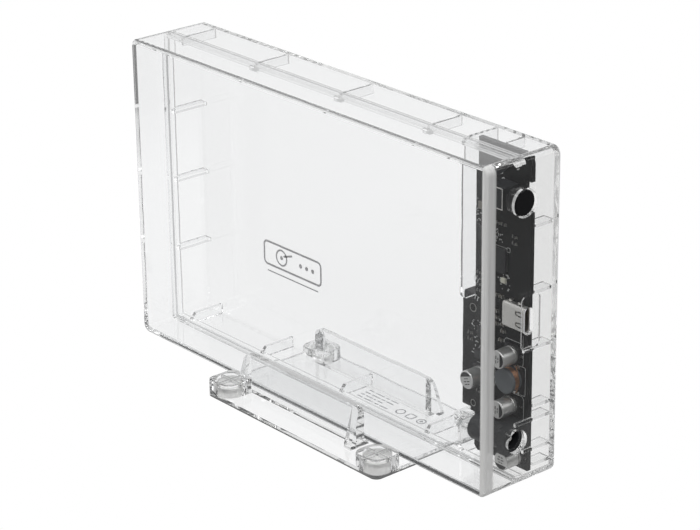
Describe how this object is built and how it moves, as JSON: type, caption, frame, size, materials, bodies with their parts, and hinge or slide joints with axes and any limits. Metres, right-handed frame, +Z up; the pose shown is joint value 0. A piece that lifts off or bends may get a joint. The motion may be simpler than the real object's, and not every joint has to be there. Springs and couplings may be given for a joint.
{
  "type": "external hard disk drive enclosure",
  "caption": "Clear upright enclosure for a 3.5 inch hard disk drive, with sliding cover, interface board, power button and a clear stand with rubber feet.",
  "frame": {"origin": "on the surface the stand rests on, under the middle of the overall box", "axes": "+X along the case towards the end with the sockets, +Y from the sliding cover to the back panel, +Z up"},
  "size_m": [0.185, 0.0574, 0.118],
  "materials": {
    "clear_case": "clear moulded polycarbonate",
    "clear_stand": "clear moulded polycarbonate",
    "foot_rubber": "soft grey translucent rubber",
    "board_black": "black solder mask on glass epoxy",
    "connector_black": "moulded connector plastic",
    "contact_gold": "gold flash",
    "usb_steel": "folded stainless sheet",
    "jack_black": "moulded socket plastic",
    "pin_nickel": "nickel plate",
    "switch_black": "moulded switch plastic",
    "button_black": "glossy black",
    "can_aluminium": "satin can with printed polarity mark",
    "ferrite": "ground grey ferrite",
    "copper_wire": "enamelled copper wire",
    "chip_black": "matt moulded chip body",
    "chip_ceramic": "ceramic with tinned ends",
    "crystal_steel": "sealed steel can",
    "print_ink": "screen-printed pale grey ink",
    "led_clear": "pale lens"
  },
  "bodies": {
    "stand": {"stand_body": "clear_stand", "foot_front_left": "foot_rubber", "foot_front_right": "foot_rubber", "foot_rear_left": "foot_rubber", "foot_rear_right": "foot_rubber"},
    "case": {"base_shell": "clear_case", "circuit_board": "board_black", "sata_housing": "connector_black", "sata_signal_contacts": "contact_gold", "sata_power_contacts": "contact_gold", "usb_shell": "usb_steel", "usb_tongue": "connector_black", "usb_contacts": "contact_gold", "jack_housing": "jack_black", "jack_centre_pin": "pin_nickel", "jack_spring_contact": "pin_nickel", "switch_housing": "switch_black", "inductor_core": "ferrite", "inductor_winding": "copper_wire", "inductor_base": "connector_black", "bridge_chip": "chip_black", "regulator_chip": "chip_black", "flash_chip": "chip_black", "crystal": "crystal_steel", "diode": "chip_black", "status_led": "led_clear", "chip_resistors": "chip_black", "chip_capacitors": "chip_ceramic", "capacitor_can_1": "can_aluminium", "capacitor_base_1": "connector_black", "capacitor_can_2": "can_aluminium", "capacitor_base_2": "connector_black", "capacitor_can_3": "can_aluminium", "capacitor_base_3": "connector_black", "capacitor_can_4": "can_aluminium", "capacitor_base_4": "connector_black"},
    "cover": {"front_cover": "clear_case"},
    "button": {"power_button": "button_black", "button_plunger": "switch_black"}
  },
  "joints": [
    {"name": "case_lift", "type": "slide", "parent": "stand", "child": "case", "axis": [0, 0, 1], "range_m": [0, 0.03]},
    {"name": "cover_slide", "type": "slide", "parent": "case", "child": "cover", "axis": [-1, 0, 0], "range_m": [0, 0.15]},
    {"name": "power_button_press", "type": "slide", "parent": "case", "child": "button", "axis": [-1, 0, 0], "range_m": [0, 0.0016], "stiffness_N_per_m": 900, "springref_m": -0.0006}
  ]
}
